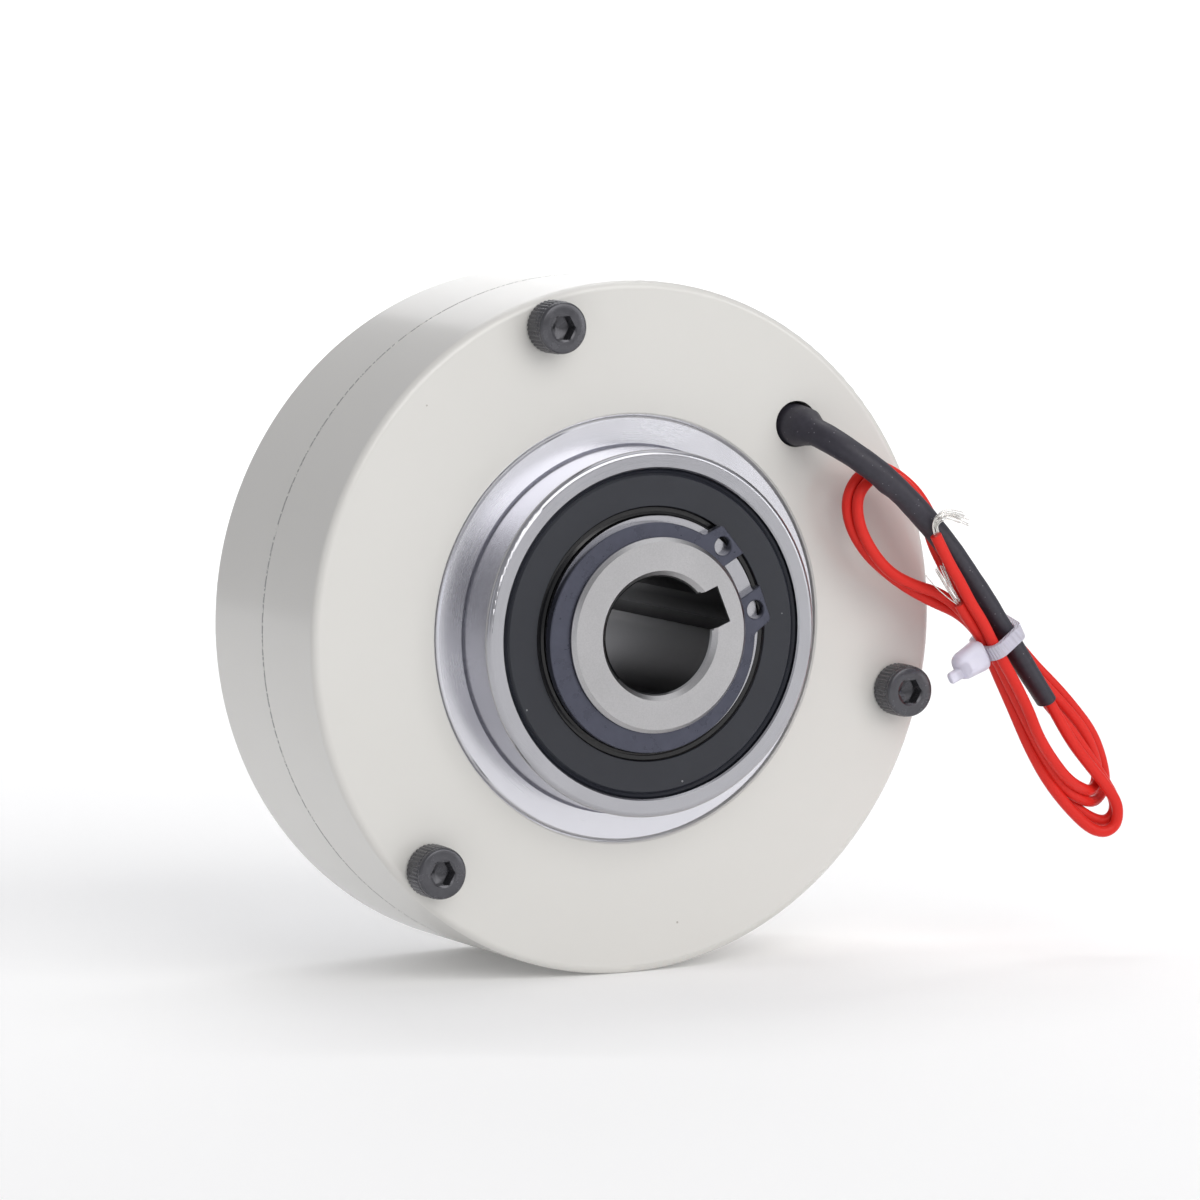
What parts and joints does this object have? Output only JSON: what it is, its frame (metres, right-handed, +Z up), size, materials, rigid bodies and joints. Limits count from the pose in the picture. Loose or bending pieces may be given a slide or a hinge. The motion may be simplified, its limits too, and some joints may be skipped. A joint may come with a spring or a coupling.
{
  "type": "hollow-shaft electromagnetic brake",
  "caption": "Round hollow-shaft electromagnetic powder brake: painted two-part housing, proud sealed bearings, keyed through bore, retaining rings and tied leads.",
  "frame": {"origin": "on the shaft's axis, in the plane of the rear mounting face", "axes": "+Y along the shaft's axis, out of the rear face; the leads' face is on the -Y side; +Z up"},
  "size_m": [0.1143, 0.0515, 0.089],
  "materials": {
    "cream_paint": "smooth satin enamel, warm grey-white",
    "turned_aluminium": "bright turned face with fine concentric marks",
    "bearing_steel": "ground bearing steel, brushed faces and bright cylinder",
    "ground_steel": "fine machined steel, slightly speckled",
    "soft_iron": "turned soft steel",
    "cage_steel": "pressed steel sheet",
    "black_steel": "black oxide, satin, knurled heads",
    "black_spring_steel": "phosphated spring steel, satin blue-black",
    "seal_rubber": "smooth blue-black nitrile",
    "brass_ring": "turned brass",
    "bobbin_nylon": "natural nylon",
    "enamelled_copper": "enamelled copper wire, close wound",
    "coil_tape": "yellow polyester tape",
    "felt": "grey wool felt",
    "black_sleeve": "matte black heat-shrink sleeve",
    "red_wire": "red insulation, satin gloss",
    "tinned_copper": "fine tinned copper strands",
    "clear_nylon": "translucent white nylon"
  },
  "bodies": {
    "housing": {"front_housing": "cream_paint", "rear_housing": "cream_paint", "isolation_ring": "brass_ring", "coil_bobbin": "bobbin_nylon", "coil_winding": "enamelled_copper", "coil_tape": "coil_tape", "clamp_screws": "black_steel", "front_hub": "turned_aluminium", "front_felt_seal": "felt", "front_bearing_outer_ring": "bearing_steel", "front_bearing_outer_seal": "seal_rubber", "front_bearing_inner_seal": "seal_rubber", "rear_hub": "turned_aluminium", "rear_felt_seal": "felt", "rear_bearing_outer_ring": "bearing_steel", "rear_bearing_outer_seal": "seal_rubber", "rear_bearing_inner_seal": "seal_rubber", "lead_sleeve": "black_sleeve", "lower_hank": "red_wire", "upper_hank": "red_wire", "wire_end_a": "red_wire", "wire_end_b": "red_wire", "strand_cores": "tinned_copper", "cable_tie": "clear_nylon"},
    "shaft_assembly": {"hollow_shaft": "ground_steel", "rotor": "soft_iron", "rotor_key": "soft_iron", "front_spacer": "soft_iron", "front_bearing_inner_ring": "bearing_steel", "front_retaining_ring": "black_spring_steel", "rear_spacer": "soft_iron", "rear_bearing_inner_ring": "bearing_steel", "rear_retaining_ring": "black_spring_steel"},
    "front_ball_set": {"front_bearing_balls": "bearing_steel", "front_bearing_cage": "cage_steel"},
    "rear_ball_set": {"rear_bearing_balls": "bearing_steel", "rear_bearing_cage": "cage_steel"}
  },
  "joints": [
    {"name": "shaft_spin", "type": "hinge", "parent": "housing", "child": "shaft_assembly", "pos_m": [0, -0.015, 0], "axis": [0, 1, 0], "continuous": true},
    {"name": "front_cage_spin", "type": "hinge", "parent": "housing", "child": "front_ball_set", "pos_m": [0, -0.0308, 0], "axis": [0, 1, 0], "continuous": true},
    {"name": "rear_cage_spin", "type": "hinge", "parent": "housing", "child": "rear_ball_set", "pos_m": [0, 0.0008, 0], "axis": [0, 1, 0], "continuous": true}
  ],
  "couplings": [
    {"joint": "front_cage_spin", "follows": "shaft_spin", "ratio": 0.40625},
    {"joint": "rear_cage_spin", "follows": "shaft_spin", "ratio": 0.40625}
  ]
}
